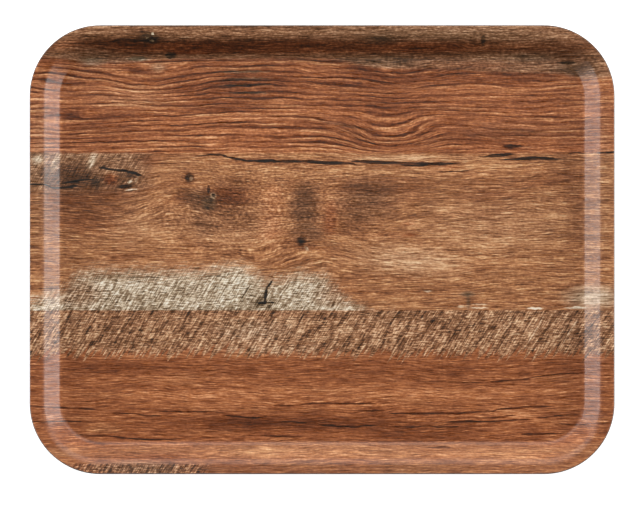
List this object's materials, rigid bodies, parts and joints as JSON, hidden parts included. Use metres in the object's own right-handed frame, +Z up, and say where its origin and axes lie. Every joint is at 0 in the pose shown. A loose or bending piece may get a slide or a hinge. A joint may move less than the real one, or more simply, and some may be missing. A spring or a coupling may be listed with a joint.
{
  "type": "serving tray",
  "caption": "Shallow rectangular serving tray with rounded corners and a flared rim, pressed from stacked laminate sheets, with an aged wood-plank print.",
  "frame": {"origin": "middle of the flat underside", "axes": "+X along the long side, +Y along the short side, +Z up out of the tray"},
  "size_m": [0.43, 0.33, 0.016],
  "materials": {
    "melamine_overlay": "satin",
    "wood_print": "satin",
    "kraft_core": "satin",
    "backing_print": "satin"
  },
  "bodies": {
    "root": {"clear_overlay": "melamine_overlay", "decor_sheet": "wood_print", "core_sheet_1": "kraft_core", "core_sheet_2": "kraft_core", "core_sheet_3": "kraft_core", "core_sheet_4": "kraft_core", "core_sheet_5": "kraft_core", "core_sheet_6": "kraft_core", "core_sheet_7": "kraft_core", "core_sheet_8": "kraft_core", "backing_sheet": "backing_print"}
  },
  "joints": []
}
